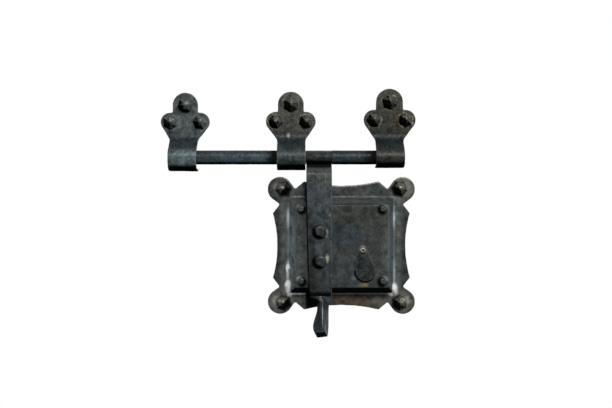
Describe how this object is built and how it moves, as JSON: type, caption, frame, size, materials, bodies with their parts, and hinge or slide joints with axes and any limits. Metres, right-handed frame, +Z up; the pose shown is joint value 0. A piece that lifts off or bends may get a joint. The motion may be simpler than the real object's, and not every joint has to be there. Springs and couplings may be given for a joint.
{
  "type": "door lock",
  "caption": "Forged iron door lock: a sliding bolt bar in strap keepers, with a hanging hasp locked by its staple in a dished box lock with a swinging keyhole cover.",
  "frame": {"origin": "centre of the lock case's back, on the door's face", "axes": "+X to the right seen from the front, +Y into the door, +Z up"},
  "size_m": [0.2705, 0.0736, 0.2594],
  "materials": {
    "case_iron": "blackened forged sheet, satin, rubbed bright at its edges, a little rust",
    "keeper_iron": "blackened forged strap, satin, rubbed edges",
    "nail_iron": "blackened forged nail heads with bright facets",
    "bar_iron": "dark bar with sliding wear",
    "hasp_iron": "dark strap with streaked wear",
    "rivet_iron": "dark peened iron",
    "cover_iron": "dark sheet with a bright rim",
    "pivot_iron": "rubbed bright",
    "inner_iron": "plain iron, oiled",
    "spring_steel": "blued spring steel"
  },
  "bodies": {
    "root": {"lock_case": "case_iron", "case_nails": "nail_iron", "back_cap": "inner_iron", "cap_pillars": "rivet_iron", "left_keeper": "keeper_iron", "left_keeper_nails": "nail_iron", "middle_keeper": "keeper_iron", "middle_keeper_nails": "nail_iron", "right_keeper": "keeper_iron", "right_keeper_nails": "nail_iron", "cover_rivet": "pivot_iron", "front_bolt_guide": "inner_iron", "rear_bolt_guide": "inner_iron", "bolt_spring": "spring_steel", "spring_stud": "inner_iron", "key_post": "inner_iron", "ward_ring": "inner_iron"},
    "slide_bar": {"slide_bar": "bar_iron"},
    "hasp": {"hasp": "hasp_iron", "hasp_staple": "rivet_iron"},
    "keyhole_cover": {"keyhole_cover": "cover_iron"},
    "lock_bolt": {"lock_bolt": "inner_iron"}
  },
  "joints": [
    {"name": "bar_slide", "type": "slide", "parent": "root", "child": "slide_bar", "axis": [1, 0, 0], "range_m": [0, 0.0445]},
    {"name": "hasp_lift", "type": "hinge", "parent": "slide_bar", "child": "hasp", "pos_m": [-0.0239, -0.009, 0.0928], "axis": [-1, 0, 0], "range_deg": [0, 150]},
    {"name": "cover_swing", "type": "hinge", "parent": "root", "child": "keyhole_cover", "pos_m": [0.0216, -0.019, -0.0043], "axis": [0, -1, 0], "range_deg": [-92, 78]},
    {"name": "bolt_throw", "type": "slide", "parent": "root", "child": "lock_bolt", "axis": [-1, 0, 0], "range_m": [0, 0.014]}
  ],
  "couplings": [
    {"joint": "bar_slide", "follows": "hasp_lift", "m_per_rad": 0.017}
  ]
}
